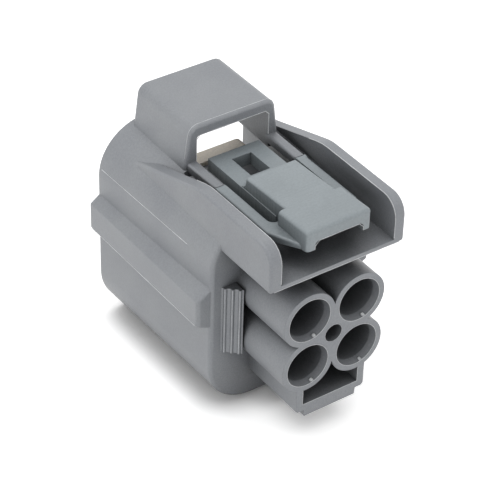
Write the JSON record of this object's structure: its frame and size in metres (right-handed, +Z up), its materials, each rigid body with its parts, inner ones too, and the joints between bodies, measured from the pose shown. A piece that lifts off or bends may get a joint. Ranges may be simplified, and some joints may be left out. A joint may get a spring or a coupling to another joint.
{
  "type": "sealed electrical connector",
  "caption": "Sealed connector housing with round wire tubes, a rounded hood with side bands, a guarded finger lever and an arch over its lock channel",
  "frame": {"origin": "centre of the bounding box's bottom: on the middle plane, midway between the wire end and the mating mouth, on the level of the hood's lower rear edge", "axes": "+X across the connector, +Y from the wire tubes to the mating mouth, +Z up from the hood's bottom to the arch"},
  "size_m": [0.0248, 0.033, 0.0326],
  "materials": {
    "housing_plastic": "satin moulded glass-filled PBT, cool mid-grey",
    "lever_plastic": "satin moulded glass-filled PBT, cool mid-grey, same moulding as the housing",
    "seal_silicone": "soft dark silicone with an oily sheen",
    "retainer_plastic": "satin moulded PBT, cream"
  },
  "bodies": {
    "housing": {"housing": "housing_plastic", "ring_seal": "seal_silicone"},
    "lever": {"latch_lever": "lever_plastic"},
    "retainer": {"front_retainer": "retainer_plastic"}
  },
  "joints": [
    {"name": "lever_press", "type": "hinge", "parent": "housing", "child": "lever", "pos_m": [0, -0.0014, 0.02725], "axis": [1, 0, 0], "range_deg": [0, 11], "stiffness_Nm_per_rad": 0.5},
    {"name": "retainer_slide", "type": "slide", "parent": "housing", "child": "retainer", "axis": [0, 1, 0], "range_m": [0, 0.0012]}
  ]
}
